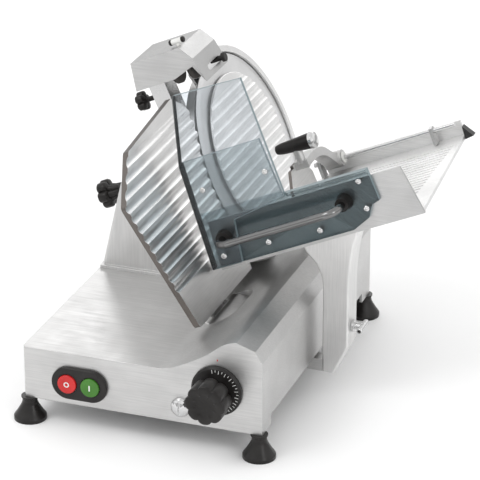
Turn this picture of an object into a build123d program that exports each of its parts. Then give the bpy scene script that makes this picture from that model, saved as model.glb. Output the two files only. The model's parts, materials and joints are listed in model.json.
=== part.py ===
"""Gravity-feed deli meat slicer with a tilted 300 mm blade, as an assembly of separate pieces.

Millimetres. +Z is up, +X is the operator's right, +Y points away from the operator and is the
direction the carriage travels. The model is drawn with its origin on the table, midway between the
four feet; the files are written with the origin under the middle of the whole outline.
"""
from build123d import *
from math import cos, radians, sin, sqrt
import os

# ---------------------------------------------------------------- driving dimensions
BLADE_R = 150.0
TILT = 24.0
BLADE_CENTRE = Vector(-7.5, 219.0, 250.0)
WALL = 4.0
RUNNING_GAP = 0.05

FOOT_X = 169.0
FOOT_Y = 237.5
FOOT_H = 35.0
BASE_HALF_W = 175.0
BASE_HALF_D = 243.0
DECK_Z = 112.0
RIDGE_Z = 168.0
ARCH_Z = 50.0
ARCH_HALF_D = 206.0

# ---------------------------------------------------------------- tilted working planes
N_DIR = Vector(cos(radians(TILT)), 0, sin(radians(TILT)))
U_DIR = Vector(-sin(radians(TILT)), 0, cos(radians(TILT)))
Y_DIR = Vector(0, 1, 0)

# blade plane: local x runs back along +Y, local y climbs the blade, the normal faces the carriage
BLADE = Plane(origin=BLADE_CENTRE, x_dir=Y_DIR, z_dir=N_DIR)
# tray plane: local x runs out from the blade, local y runs back, the normal climbs the blade
TRAY = Plane(origin=BLADE_CENTRE, x_dir=N_DIR, z_dir=U_DIR)
# wall plane: local x runs out from the blade, local y climbs, the normal faces the operator
CROSS = Plane(origin=BLADE_CENTRE, x_dir=N_DIR, z_dir=-Y_DIR)


def at(back, up, out):
    """Point given as distances from the blade centre: back along Y, up the blade, out from it."""
    return BLADE_CENTRE + Y_DIR * back + U_DIR * up + N_DIR * out


def out_axis(back, up, out):
    """Plane at a point, with its normal along the blade's own axis."""
    return Plane(origin=at(back, up, out), x_dir=Y_DIR, z_dir=N_DIR)


def facing_front(x, z, y):
    """Plane at a point, facing the operator: local x is +X, local y is +Z."""
    return Plane(origin=(x, y, z), x_dir=(1, 0, 0), z_dir=(0, -1, 0))


PIECES = []


def keep(builder, label):
    """Name a finished piece and put it on the list that is written out at the end."""
    builder.part.label = label
    PIECES.append(builder.part)


# ================================================================ base
BASE_COVE = [(24, DECK_Z), (56, 121), (103, 149), (138, RIDGE_Z)]
CAVITY_COVE = [(25, DECK_Z - WALL), (58, 117), (105, 145), (138, RIDGE_Z - WALL)]
COVE_TANGENTS = ((1, 0), (1, 0.15))
BEVEL_TOP = (165, 159)
BEVEL_LOW = (BASE_HALF_W, 142)
WELL_R = 168.0
WELL_BACK = -29.0
WELL_FRONT = 14.0
SLOT_X, SLOT_Y = 52.0, -45.0
SLOT_W, SLOT_L = 56.0, 110.0
GAUGE_SLOT_X, GAUGE_SLOT_W, GAUGE_SLOT_L = 23.0, 40.0, 60.0
SLOT_COVER_T = 4.5
SLIDE_X, SLIDE_Z, SLIDE_R = 58.0, 59.0, 11.0
DIAL_X, DIAL_Z, DIAL_SHAFT_R = 111.0, 94.0, 6.0
SWITCH_X, SWITCH_Z = -90.0, 68.0
GLAND_X, GLAND_Z, GLAND_R = -120.0, 70.0, 9.0
RAIL_X, RAIL_Z, RAIL_SIDE = 146.0, 74.0, 16.0
SEAT_W, SEAT_D = 140.0, 150.0
COVER_X0, COVER_X1, COVER_T = -168.0, -10.0, 2.0
COVER_SCREWS = [(-160, 0), (-20, -225), (-20, 225)]
# the gauge slides on a rod under the deck, parallel to the blade's axis
GUIDE_Z, GUIDE_R = 84.0, 7.0
GUIDE = Plane(origin=(0, 0, GUIDE_Z), x_dir=Y_DIR, z_dir=N_DIR)

with BuildPart() as base_cavity:
    with BuildSketch(facing_front(0, 0, BASE_HALF_D - WALL)):
        with BuildLine():
            Polyline((-BASE_HALF_W + WALL, 0), (-BASE_HALF_W + WALL, DECK_Z - WALL), CAVITY_COVE[0])
            Spline(*CAVITY_COVE, tangents=COVE_TANGENTS)
            Polyline(CAVITY_COVE[-1], (162, 155.5), (BASE_HALF_W - WALL, 140), (BASE_HALF_W - WALL, 0))
            Line((BASE_HALF_W - WALL, 0), (-BASE_HALF_W + WALL, 0))
        make_face()
    extrude(amount=2 * (BASE_HALF_D - WALL))
    with BuildSketch(BLADE.offset(WELL_BACK - WALL)):
        Circle(WELL_R + WALL)
    extrude(amount=WELL_FRONT - WELL_BACK + 2 * WALL, mode=Mode.SUBTRACT)
    with BuildSketch(Plane.XY.offset(DECK_Z - WALL)):
        with Locations((SLOT_X, SLOT_Y)):
            SlotOverall(SLOT_L + 2 * WALL, SLOT_W + 2 * WALL, rotation=90)
    extrude(amount=RIDGE_Z - DECK_Z, mode=Mode.SUBTRACT)

with BuildPart() as base_housing:
    with BuildSketch(facing_front(0, 0, BASE_HALF_D)):
        with BuildLine():
            Polyline((-BASE_HALF_W, FOOT_H), (-BASE_HALF_W, DECK_Z), BASE_COVE[0])
            Spline(*BASE_COVE, tangents=COVE_TANGENTS)
            Polyline(BASE_COVE[-1], BEVEL_TOP, BEVEL_LOW, (BASE_HALF_W, FOOT_H))
            Line((BASE_HALF_W, FOOT_H), (-BASE_HALF_W, FOOT_H))
        make_face()
    extrude(amount=2 * BASE_HALF_D)
    upright_edges = base_housing.edges().filter_by(Axis.Z)
    corner_edges = upright_edges.filter_by_position(Axis.X, -BASE_HALF_W - 1, -BASE_HALF_W + 1)
    fillet(corner_edges, radius=5)
    add(base_cavity.part, mode=Mode.SUBTRACT)
    # corner pads that take the foot bolts, and posts that take the bottom cover's screws
    with BuildSketch(Plane.XY.offset(FOOT_H)):
        for side_x in (-1, 1):
            for side_y in (-1, 1):
                with Locations((side_x * (BASE_HALF_W - 14), side_y * (BASE_HALF_D - 14))):
                    Rectangle(24, 24)
    extrude(amount=24)
    with BuildSketch(Plane.XY.offset(FOOT_H)):
        with Locations(*COVER_SCREWS):
            Circle(6)
    extrude(amount=DECK_Z - FOOT_H - 2)
    # lugs that hang from the deck and hold the gauge's guide rod, and one that steadies the dial shaft
    for x0, x1, z0 in ((-60, -46, 46), (28, 34, 82)):
        with BuildSketch(Plane.XY.offset(z0)):
            with Locations(((x0 + x1) / 2, 0)):
                Rectangle(x1 - x0, 26)
        extrude(amount=DECK_Z - 2 - z0)
    with BuildSketch(facing_front(DIAL_X, 0, -130)):
        with BuildLine():
            Polyline((-12, 80), (12, 80), (12, 156), (-12, 147), close=True)
        make_face()
    extrude(amount=6)
    with BuildSketch(facing_front(DIAL_X, DIAL_Z, -129)):
        Circle(DIAL_SHAFT_R + RUNNING_GAP)
    extrude(amount=8, mode=Mode.SUBTRACT)
    with BuildSketch(GUIDE.offset(-62)):
        Circle(GUIDE_R)
    extrude(amount=62 + 34, mode=Mode.SUBTRACT)
    # well for the blade's lower edge
    with BuildSketch(BLADE.offset(WELL_BACK)):
        Circle(WELL_R)
    extrude(amount=WELL_FRONT - WELL_BACK, mode=Mode.SUBTRACT)
    # flat seat for the slot cover, and the slot for the gauge arm
    with BuildSketch(Plane.XY.offset(DECK_Z)):
        with Locations((SLOT_X, SLOT_Y)):
            SlotOverall(SLOT_L, SLOT_W, rotation=90)
    extrude(amount=RIDGE_Z - DECK_Z, mode=Mode.SUBTRACT)
    with BuildSketch(Plane.XY.offset(DECK_Z - 2 * WALL)):
        with Locations((GAUGE_SLOT_X, SLOT_Y)):
            Rectangle(GAUGE_SLOT_W, GAUGE_SLOT_L)
        with Locations((-75, 150)):
            Rectangle(SEAT_W, SEAT_D)
    extrude(amount=3 * WALL, mode=Mode.SUBTRACT)
    # arch in the right-hand wall that the carriage foot passes under
    with BuildSketch(Plane.YZ.offset(BASE_HALF_W - 2 * WALL)):
        with Locations((0, FOOT_H)):
            Rectangle(2 * ARCH_HALF_D, 2 * (ARCH_Z - FOOT_H))
    extrude(amount=3 * WALL, mode=Mode.SUBTRACT)
    # holes through the front and rear walls
    with BuildSketch(facing_front(0, 0, BASE_HALF_D + 1)):
        with Locations((SLIDE_X, SLIDE_Z)):
            Circle(SLIDE_R)
    extrude(amount=2 * BASE_HALF_D + 2, mode=Mode.SUBTRACT)
    with BuildSketch(facing_front(0, 0, -BASE_HALF_D - 1)):
        with Locations((DIAL_X, DIAL_Z)):
            Circle(DIAL_SHAFT_R + RUNNING_GAP)
        with Locations((SWITCH_X, SWITCH_Z)):
            SlotOverall(68, 32)
    extrude(amount=-3 * WALL, mode=Mode.SUBTRACT)
    with BuildSketch(facing_front(0, 0, BASE_HALF_D + 1)):
        with Locations((GLAND_X, GLAND_Z)):
            Circle(GLAND_R)
    extrude(amount=3 * WALL, mode=Mode.SUBTRACT)
    with BuildSketch(Plane.XY.offset(FOOT_H)):
        for side_x in (-1, 1):
            for side_y in (-1, 1):
                with Locations((side_x * FOOT_X, side_y * FOOT_Y)):
                    Circle(3)
    extrude(amount=16, mode=Mode.SUBTRACT)
keep(base_housing, "base_housing")

with BuildPart() as bottom_cover:
    with BuildSketch(Plane.XY.offset(FOOT_H - COVER_T)):
        with Locations(((COVER_X0 + COVER_X1) / 2, 0)):
            Rectangle(COVER_X1 - COVER_X0, 2 * BASE_HALF_D - 6)
        for side_y in (-1, 1):
            with Locations((-FOOT_X, side_y * FOOT_Y)):
                Circle(24, mode=Mode.SUBTRACT)
        with GridLocations(10, 0, 9, 1):
            with Locations((-60, -40)):
                SlotOverall(60, 4, rotation=90, mode=Mode.SUBTRACT)
        with Locations(*COVER_SCREWS):
            Circle(2, mode=Mode.SUBTRACT)
    extrude(amount=COVER_T)
keep(bottom_cover, "bottom_cover")

# ================================================================ feet
with BuildPart() as feet:
    for side_x in (-1, 1):
        for side_y in (-1, 1):
            centre = (side_x * FOOT_X, side_y * FOOT_Y, 0)
            with BuildSketch(Plane(origin=centre, x_dir=(1, 0, 0), z_dir=(0, -1, 0))):
                with BuildLine():
                    Polyline((3, 4), (17, 3), (20, 0), (23, 0), (23, 5), (21, 8))
                    Spline((21, 8), (14, 19), (10.5, 28), tangents=((-1, 1.2), (-0.1, 1)))
                    Polyline((10.5, 28), (10.5, 32), (12, 33), (12, FOOT_H), (3, FOOT_H), (3, 4))
                make_face()
            revolve(axis=Axis(centre, (0, 0, 1)))
keep(feet, "feet")

with BuildPart() as base_screws:
    with BuildSketch(Plane.XY.offset(4)):
        with GridLocations(2 * FOOT_X, 2 * FOOT_Y, 2, 2):
            Circle(3)
    extrude(amount=FOOT_H + 10)
    with BuildSketch(Plane.XY.offset(FOOT_H - COVER_T - 2.5)):
        with Locations(*COVER_SCREWS):
            Circle(4)
    extrude(amount=2.5)
    with BuildSketch(Plane.XY.offset(FOOT_H - COVER_T)):
        with Locations(*COVER_SCREWS):
            Circle(2)
    extrude(amount=COVER_T)
keep(base_screws, "base_screws")

# ================================================================ blade column
COLUMN_Y0, COLUMN_Y1 = 40.0, 270.0
COLUMN_TOP_Z = 330.0
DISC_BACK, DISC_FRONT, DISC_R = -28.0, -14.0, 135.0
BOSS_R, BOSS_BACK = 34.0, -66.0
SHAFT_R, TIE_R = 15.0, 5.0
BEARING_R = 26.0
MOTOR_BACK, MOTOR_UP, MOTOR_R = -95.0, -40.0, 46.0
MOTOR_OUT0, MOTOR_OUT1 = -146.0, -88.0
PULLEY_OUT0, PULLEY_OUT1 = -84.0, -70.0


def column_right_x(z, out):
    """X of the point at height z on the plane that is `out` from the blade's front face."""
    return BLADE_CENTRE.X + (out - (z - BLADE_CENTRE.Z) * N_DIR.Z) / N_DIR.X


def column_outline(inset):
    """Outline of the column in X and Z, shrunk by the same wall on each side."""
    return [
        (-174 + inset, DECK_Z),
        (column_right_x(DECK_Z, DISC_BACK - inset), DECK_Z),
        (column_right_x(COLUMN_TOP_Z - inset, DISC_BACK - inset), COLUMN_TOP_Z - inset),
        (-108 + 0.5 * inset, COLUMN_TOP_Z - 26 - inset),
        (-143 + inset, 247 - 0.3 * inset),
    ]


with BuildPart() as blade_column:
    with BuildSketch(facing_front(0, 0, COLUMN_Y1)):
        with BuildLine():
            Polyline(*column_outline(0), close=True)
        make_face()
    extrude(amount=COLUMN_Y1 - COLUMN_Y0)
    roof_edges = blade_column.edges().filter_by(Axis.Y).filter_by_position(Axis.Z, DECK_Z + 1, 400)
    fillet(roof_edges, radius=10)
    end_faces = blade_column.faces().filter_by(Axis.Y)
    end_edges = end_faces.edges().filter_by_position(Axis.Z, DECK_Z + 1, 400)
    fillet(end_edges, radius=5)
    # foot flange that sits on the deck
    with BuildSketch(Plane.XY.offset(DECK_Z)):
        with Locations((-75.5, (COLUMN_Y0 + COLUMN_Y1) / 2 - 3)):
            Rectangle(197, COLUMN_Y1 - COLUMN_Y0 + 6)
    extrude(amount=5)
    # hollow for the motor and the belt drive, open to the base
    with BuildSketch(facing_front(0, 0, COLUMN_Y1 - WALL)):
        with BuildLine():
            Polyline(*column_outline(WALL), close=True)
        make_face()
    extrude(amount=COLUMN_Y1 - COLUMN_Y0 - 2 * WALL, mode=Mode.SUBTRACT)
    # plate across the hollow that carries the motor
    with BuildSketch(out_axis(MOTOR_BACK, MOTOR_UP, MOTOR_OUT1)):
        with Locations((-22, 0)):
            Rectangle(120, 88)
        Circle(9, mode=Mode.SUBTRACT)
    extrude(amount=WALL)
    # round backing disc behind the blade, and the bearing boss
    with BuildSketch(BLADE.offset(DISC_BACK)):
        Circle(DISC_R)
    extrude(amount=DISC_FRONT - DISC_BACK)
    with BuildSketch(BLADE.offset(BOSS_BACK)):
        Circle(BOSS_R)
    extrude(amount=DISC_FRONT - BOSS_BACK)
    with BuildSketch(BLADE.offset(BOSS_BACK)):
        Circle(BEARING_R)
    extrude(amount=DISC_FRONT - BOSS_BACK, mode=Mode.SUBTRACT)
    # clear the deck under the disc's lower edge
    with BuildSketch(Plane.XY.offset(DECK_Z - 60)):
        Rectangle(600, 900)
    extrude(amount=60, mode=Mode.SUBTRACT)
    # hole for the tie rod in the left wall
    with BuildSketch(BLADE.offset(-200)):
        Circle(TIE_R + 0.5)
    extrude(amount=110, mode=Mode.SUBTRACT)
keep(blade_column, "blade_column")

# ================================================================ electrics
with BuildPart() as switch_bezel:
    with BuildSketch(facing_front(SWITCH_X, SWITCH_Z, -BASE_HALF_D)):
        SlotOverall(82, 48)
    extrude(amount=6)
    fillet(switch_bezel.edges().filter_by_position(Axis.Y, -BASE_HALF_D - 6.1, -BASE_HALF_D - 5.9), radius=2.5)
    with BuildSketch(facing_front(SWITCH_X, SWITCH_Z, -BASE_HALF_D)):
        with Locations((-17, 0), (17, 0)):
            Circle(14.5)
    extrude(amount=8, mode=Mode.SUBTRACT)
keep(switch_bezel, "switch_bezel")

for label, x in (("stop_button", SWITCH_X - 17), ("start_button", SWITCH_X + 17)):
    with BuildPart() as button:
        with BuildSketch(facing_front(x, SWITCH_Z, -BASE_HALF_D - 9)):
            Circle(13.7)
        extrude(amount=-8)
        fillet(button.edges().group_by(Axis.Y)[0], radius=1.5)
        with BuildSketch(facing_front(x, SWITCH_Z, -BASE_HALF_D - 1)):
            Circle(4)
        extrude(amount=-14)
    keep(button, label)

with BuildPart() as switch_block:
    with BuildSketch(facing_front(SWITCH_X, SWITCH_Z, -BASE_HALF_D + 2)):
        SlotOverall(67.4, 31.4)
    extrude(amount=-4)
    with BuildSketch(facing_front(SWITCH_X, SWITCH_Z, -BASE_HALF_D + 6)):
        Rectangle(64, 40)
    extrude(amount=-30)
    with BuildSketch(facing_front(SWITCH_X, SWITCH_Z, -BASE_HALF_D)):
        with Locations((-17, 0), (17, 0)):
            Circle(4.4)
    extrude(amount=-18, mode=Mode.SUBTRACT)
keep(switch_block, "switch_block")

with BuildPart() as rear_cable_gland:
    with BuildSketch(facing_front(GLAND_X, GLAND_Z, BASE_HALF_D - WALL)):
        Circle(GLAND_R)
        Circle(4, mode=Mode.SUBTRACT)
    extrude(amount=-WALL)
    with BuildSketch(facing_front(GLAND_X, GLAND_Z, BASE_HALF_D)):
        RegularPolygon(13, 6)
        Circle(4, mode=Mode.SUBTRACT)
    extrude(amount=-8)
    with BuildSketch(facing_front(GLAND_X, GLAND_Z, BASE_HALF_D + 8)):
        Circle(9)
        Circle(4, mode=Mode.SUBTRACT)
    extrude(amount=-9)
keep(rear_cable_gland, "rear_cable_gland")

# ================================================================ motor and belt drive
MOTOR_PULLEY_R, BLADE_PULLEY_R, BELT_T = 14.0, 38.0, 3.0

with BuildPart() as motor_body:
    with BuildSketch(out_axis(MOTOR_BACK, MOTOR_UP, MOTOR_OUT0)):
        Circle(MOTOR_R - 4)
        with PolarLocations(MOTOR_R - 4, 18):
            Rectangle(8, 3)
    extrude(amount=MOTOR_OUT1 - MOTOR_OUT0 - 8)
    with BuildSketch(out_axis(MOTOR_BACK, MOTOR_UP, MOTOR_OUT1 - 8)):
        Circle(MOTOR_R)
    extrude(amount=8)
    with BuildSketch(out_axis(MOTOR_BACK, MOTOR_UP, MOTOR_OUT1 - 30)):
        Circle(5 + RUNNING_GAP)
    extrude(amount=30, mode=Mode.SUBTRACT)
keep(motor_body, "motor_body")

with BuildPart() as motor_pulley:
    with BuildSketch(out_axis(MOTOR_BACK, MOTOR_UP, PULLEY_OUT0)):
        Circle(MOTOR_PULLEY_R)
    extrude(amount=PULLEY_OUT1 - PULLEY_OUT0)
    with BuildSketch(out_axis(MOTOR_BACK, MOTOR_UP, MOTOR_OUT1 - 28)):
        Circle(5)
    extrude(amount=PULLEY_OUT0 - MOTOR_OUT1 + 28)
keep(motor_pulley, "motor_pulley")

with BuildPart() as blade_pulley:
    with BuildSketch(BLADE.offset(PULLEY_OUT0)):
        Circle(BLADE_PULLEY_R)
        Circle(SHAFT_R, mode=Mode.SUBTRACT)
    extrude(amount=PULLEY_OUT1 - PULLEY_OUT0)
    with BuildSketch(BLADE.offset(PULLEY_OUT0)):
        with PolarLocations(26, 6):
            Circle(6)
    extrude(amount=PULLEY_OUT1 - PULLEY_OUT0, mode=Mode.SUBTRACT)
keep(blade_pulley, "blade_pulley")

BELT_SPAN = sqrt(MOTOR_BACK**2 + MOTOR_UP**2)
BELT_DIR = (Y_DIR * MOTOR_BACK + U_DIR * MOTOR_UP) / BELT_SPAN


def belt_outline(extra):
    """Belt loop around both pulleys, standing `extra` off the pulley faces."""
    big, small = BLADE_PULLEY_R + extra, MOTOR_PULLEY_R + extra
    lean = (BLADE_PULLEY_R - MOTOR_PULLEY_R) / BELT_SPAN
    rise = sqrt(1 - lean**2)
    Polyline((big * lean, big * rise), (BELT_SPAN + small * lean, small * rise))
    ThreePointArc(
        (BELT_SPAN + small * lean, small * rise), (BELT_SPAN + small, 0),
        (BELT_SPAN + small * lean, -small * rise)
    )
    Polyline((BELT_SPAN + small * lean, -small * rise), (big * lean, -big * rise))
    ThreePointArc((big * lean, -big * rise), (-big, 0), (big * lean, big * rise))


BELT_PLANE = Plane(origin=at(0, 0, PULLEY_OUT0 + 3), x_dir=BELT_DIR, z_dir=N_DIR)

with BuildPart() as drive_belt:
    with BuildSketch(BELT_PLANE):
        with BuildLine():
            belt_outline(BELT_T + 0.4)
        make_face()
    extrude(amount=8)
    with BuildSketch(BELT_PLANE):
        with BuildLine():
            belt_outline(0.4)
        make_face()
    extrude(amount=8, mode=Mode.SUBTRACT)
keep(drive_belt, "drive_belt")

with BuildPart() as blade_bearings:
    for out in (-64.0, -30.0):
        with BuildSketch(BLADE.offset(out)):
            Circle(BEARING_R)
            Circle(SHAFT_R + RUNNING_GAP, mode=Mode.SUBTRACT)
        extrude(amount=12)
keep(blade_bearings, "blade_bearings")

# ================================================================ blade and its guard
BLADE_FRONT, BLADE_BACK = 1.0, -2.0
RING_R0, RING_R1 = 152.0, 163.0
COVER_R = 119.0

with BuildPart() as blade_shaft:
    with BuildSketch(BLADE.offset(-88)):
        Circle(SHAFT_R)
    extrude(amount=88 - 12)
    with BuildSketch(BLADE.offset(-12)):
        Circle(48)
    extrude(amount=12 + BLADE_BACK)
    with BuildSketch(BLADE.offset(BLADE_BACK)):
        Circle(19.9)
    extrude(amount=BLADE_FRONT - BLADE_BACK)
    with BuildSketch(BLADE.offset(-88)):
        Circle(TIE_R + 1)
    extrude(amount=100, mode=Mode.SUBTRACT)
    with BuildSketch(BLADE.offset(-9)):
        with PolarLocations(34, 4):
            Circle(3)
    extrude(amount=12, mode=Mode.SUBTRACT)
keep(blade_shaft, "blade_shaft")

with BuildPart() as blade:
    with BuildSketch(CROSS):
        with BuildLine():
            Polyline(
                (BLADE_BACK, 20), (BLADE_FRONT, 20), (BLADE_FRONT, 62), (0.2, 96), (0.2, BLADE_R - 9),
                (-1.2, BLADE_R), (-1.6, BLADE_R), (BLADE_BACK, BLADE_R - 3), (BLADE_BACK, 20),
            )
        make_face()
    revolve(axis=Axis(BLADE_CENTRE, N_DIR))
    with BuildSketch(BLADE.offset(BLADE_BACK - 1)):
        with PolarLocations(34, 4):
            Circle(3)
    extrude(amount=6, mode=Mode.SUBTRACT)
keep(blade, "blade")

with BuildPart() as blade_screws:
    with BuildSketch(BLADE.offset(-9)):
        with PolarLocations(34, 4):
            Circle(3)
    extrude(amount=9 + BLADE_FRONT)
    with BuildSketch(BLADE.offset(BLADE_FRONT)):
        with PolarLocations(34, 4):
            Circle(5)
    extrude(amount=1.2)
keep(blade_screws, "blade_screws")

with BuildPart() as blade_ring_guard:
    with BuildSketch(BLADE.offset(-10)):
        Circle(RING_R1)
        Circle(RING_R0, mode=Mode.SUBTRACT)
    extrude(amount=13)
    with BuildSketch(BLADE.offset(-14)):
        Circle(RING_R1)
        Circle(122, mode=Mode.SUBTRACT)
    extrude(amount=4)
    fillet(blade_ring_guard.edges().filter_by(GeomType.CIRCLE).group_by(SortBy.RADIUS)[-1], radius=2.5)
    # the guard is left off along the cutting edge, from the sharpener round to the blade's lower point
    with BuildSketch(BLADE.offset(-16)):
        with BuildLine():
            Polyline((0, 0), (-98, 236), (-400, 236), (-400, -376), (-70, -376), close=True)
        make_face()
    extrude(amount=22, mode=Mode.SUBTRACT)
    with BuildSketch(BLADE.offset(-14)):
        with PolarLocations(128, 4, start_angle=-60, angular_range=150):
            Circle(2.5)
    extrude(amount=4, mode=Mode.SUBTRACT)
keep(blade_ring_guard, "blade_ring_guard")

with BuildPart() as ring_screws:
    with BuildSketch(BLADE.offset(-14)):
        with PolarLocations(128, 4, start_angle=-60, angular_range=150):
            Circle(2.5)
    extrude(amount=4)
    with BuildSketch(BLADE.offset(-10)):
        with PolarLocations(128, 4, start_angle=-60, angular_range=150):
            Circle(4.5)
    extrude(amount=2.5)
keep(ring_screws, "ring_screws")

COVER_RIB_PITCH = 16.0
with BuildPart() as blade_cover:
    with BuildSketch(BLADE.offset(3.5)):
        Circle(COVER_R)
    extrude(amount=4)
    fillet(blade_cover.edges().filter_by(GeomType.CIRCLE).group_by(Axis(BLADE_CENTRE, N_DIR))[-1], radius=1.2)
    with BuildSketch(CROSS.offset(-COVER_R)):
        for k in range(-6, 7):
            with Locations((11.5, k * COVER_RIB_PITCH)):
                Circle(6.4)
    extrude(amount=2 * COVER_R, mode=Mode.SUBTRACT)
keep(blade_cover, "blade_cover")

TIE_END = -246.0
with BuildPart() as cover_tie_rod:
    with BuildSketch(BLADE.offset(TIE_END)):
        Circle(TIE_R)
    extrude(amount=3.5 - TIE_END)
    with BuildSketch(BLADE.offset(1.5)):
        Circle(12)
    extrude(amount=2)
keep(cover_tie_rod, "cover_tie_rod")


def lobed_outline(radius, lobes, depth):
    """Closed outline of a hand knob with rounded lobes."""
    points = []
    for k in range(2 * lobes):
        reach = radius if k % 2 == 0 else radius - depth
        turn = radians(180 * k / lobes)
        points.append((reach * cos(turn), reach * sin(turn)))
    Spline(*points, periodic=True)


with BuildPart() as tie_rod_knob:
    with BuildSketch(BLADE.offset(TIE_END - 14)):
        with BuildLine():
            lobed_outline(21, 6, 4)
        make_face()
    extrude(amount=16)
    with BuildSketch(BLADE.offset(TIE_END + 2)):
        Circle(9)
    extrude(amount=18)
    with BuildSketch(BLADE.offset(TIE_END - 1)):
        Circle(TIE_R + RUNNING_GAP)
    extrude(amount=31, mode=Mode.SUBTRACT)
keep(tie_rod_knob, "tie_rod_knob")

# ================================================================ gauge plate
PLATE_T = 9.0
PLATE_LOW = -134.0
PLATE_ARC_R = 154.0
PLATE_D = (-355, PLATE_LOW)
PLATE_E = (-144, PLATE_LOW)
PLATE_C = (-411, 74)
PLATE_B = (-343, 132)
PLATE_A = (-168, 147)
RIB_PITCH, RIB_COUNT, RIB_LOW = 17.0, 12, PLATE_LOW + 68

with BuildPart() as gauge_plate:
    with BuildSketch(BLADE.offset(-PLATE_T)):
        with BuildLine():
            Polyline(PLATE_D, PLATE_E, (-130, 120), PLATE_A, PLATE_B, PLATE_C, close=True)
        make_face()
        Circle(PLATE_ARC_R, mode=Mode.SUBTRACT)
    extrude(amount=PLATE_T)
    outline_corners = gauge_plate.edges().filter_by(Axis(BLADE_CENTRE, N_DIR)).sort_by(Axis.Y)[0:3]
    fillet(outline_corners, radius=8)
    with BuildSketch(CROSS.offset(100)):
        for k in range(RIB_COUNT):
            with Locations((5.2, RIB_LOW + k * RIB_PITCH)):
                Circle(8)
    extrude(amount=400, mode=Mode.SUBTRACT)
keep(gauge_plate, "gauge_plate")

GAUGE_TRAVEL = 15.0
CAM_Y0, CAM_Y1 = -200.0, -190.0
CAM_R0, CAM_R1 = 13.0, 13.0 + GAUGE_TRAVEL * N_DIR.X
CAM_TURN = 300.0
FOLLOWER_Z = 86.0
ARM_Y0, ARM_Y1 = -65.0, -27.0


def section(point):
    """X and Z of a point, for outlines drawn facing the operator."""
    return (point.X, point.Z)


def guide_point(out, up):
    """X and Z of a point given along and across the gauge's guide rod."""
    return section(Vector(0, 0, GUIDE_Z) + N_DIR * out + U_DIR * up)


with BuildPart() as gauge_arm:
    with BuildSketch(facing_front(0, 0, ARM_Y1)):
        with BuildLine():
            Polyline(
                guide_point(27, -12), guide_point(38, -12), (39.5, 116),
                section(at(0, PLATE_LOW + 6, -PLATE_T)),
                section(at(0, PLATE_LOW + 80, -PLATE_T)), section(at(0, PLATE_LOW + 80, -PLATE_T - 6)),
                (25, 122), guide_point(27, 12), close=True,
            )
        make_face()
    extrude(amount=ARM_Y1 - ARM_Y0)
keep(gauge_arm, "gauge_arm")

with BuildPart() as gauge_slide_block:
    with BuildSketch(GUIDE.offset(-22)):
        with Locations((-23, 0)):
            Rectangle(78, 24)
    extrude(amount=44)
    with BuildSketch(GUIDE.offset(22)):
        with Locations(((ARM_Y0 + ARM_Y1) / 2, 0)):
            Rectangle(ARM_Y1 - ARM_Y0, 24)
    extrude(amount=5)
    # follower arm that reaches across to the dial's cam
    with BuildSketch(Plane.XY.offset(FOLLOWER_Z)):
        with Locations((0, (CAM_Y0 - 50) / 2)):
            Rectangle(16, -50 - CAM_Y0)
        with Locations(((DIAL_X - CAM_R0 - 0.5) / 2, (CAM_Y0 + CAM_Y1) / 2)):
            Rectangle(DIAL_X - CAM_R0 - 0.5, CAM_Y1 - CAM_Y0)
    extrude(amount=12)
    with BuildSketch(GUIDE.offset(-22)):
        Circle(GUIDE_R + RUNNING_GAP)
    extrude(amount=44, mode=Mode.SUBTRACT)
keep(gauge_slide_block, "gauge_slide_block")

with BuildPart() as gauge_guide_rod:
    with BuildSketch(GUIDE.offset(-62)):
        Circle(GUIDE_R)
    extrude(amount=62 + 34)
keep(gauge_guide_rod, "gauge_guide_rod")

with BuildPart() as slot_cover:
    with BuildSketch(Plane.XY.offset(DECK_Z)):
        with Locations((SLOT_X, SLOT_Y)):
            SlotOverall(SLOT_L - 1, SLOT_W - 1, rotation=90)
        with Locations((GAUGE_SLOT_X, SLOT_Y)):
            Rectangle(GAUGE_SLOT_W + 2, GAUGE_SLOT_L + 2, mode=Mode.SUBTRACT)
    extrude(amount=SLOT_COVER_T)
    fillet(slot_cover.faces().sort_by(Axis.Z)[-1].edges(), radius=1.5)
keep(slot_cover, "slot_cover")

# ================================================================ thickness dial
with BuildPart() as dial_shaft:
    with BuildSketch(facing_front(DIAL_X, DIAL_Z, CAM_Y1 + 7)):
        Circle(DIAL_SHAFT_R)
    extrude(amount=BASE_HALF_D + 30 + CAM_Y1 + 7)
    # spiral cam that pushes the gauge back as the dial turns
    with BuildSketch(facing_front(DIAL_X, DIAL_Z, CAM_Y1)):
        with BuildLine():
            cam_points = []
            for k in range(11):
                turn = radians(180 - k * CAM_TURN / 10)
                reach = CAM_R0 + (CAM_R1 - CAM_R0) * k / 10
                cam_points.append((reach * cos(turn), reach * sin(turn)))
            Spline(*cam_points)
            Line(cam_points[-1], cam_points[0])
        make_face()
    extrude(amount=CAM_Y1 - CAM_Y0)
keep(dial_shaft, "dial_shaft")

with BuildPart() as dial_disc:
    with BuildSketch(facing_front(DIAL_X, DIAL_Z, -BASE_HALF_D - 0.5)):
        Circle(36)
    extrude(amount=7)
    chamfer(dial_disc.edges().filter_by(GeomType.CIRCLE).group_by(Axis.Y)[0], length=2.5)
    with BuildSketch(facing_front(DIAL_X, DIAL_Z, -BASE_HALF_D)):
        Circle(DIAL_SHAFT_R)
    extrude(amount=10, mode=Mode.SUBTRACT)
keep(dial_disc, "dial_disc")

with BuildPart() as dial_knob:
    with BuildSketch(facing_front(DIAL_X, DIAL_Z, -BASE_HALF_D - 18)):
        with BuildLine():
            lobed_outline(28, 8, 3)
        make_face()
    extrude(amount=34)
    with BuildSketch(facing_front(DIAL_X, DIAL_Z, -BASE_HALF_D - 7.5)):
        Circle(16)
    extrude(amount=12)
    with BuildSketch(facing_front(DIAL_X, DIAL_Z, -BASE_HALF_D)):
        Circle(DIAL_SHAFT_R)
    extrude(amount=30, mode=Mode.SUBTRACT)
keep(dial_knob, "dial_knob")

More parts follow.
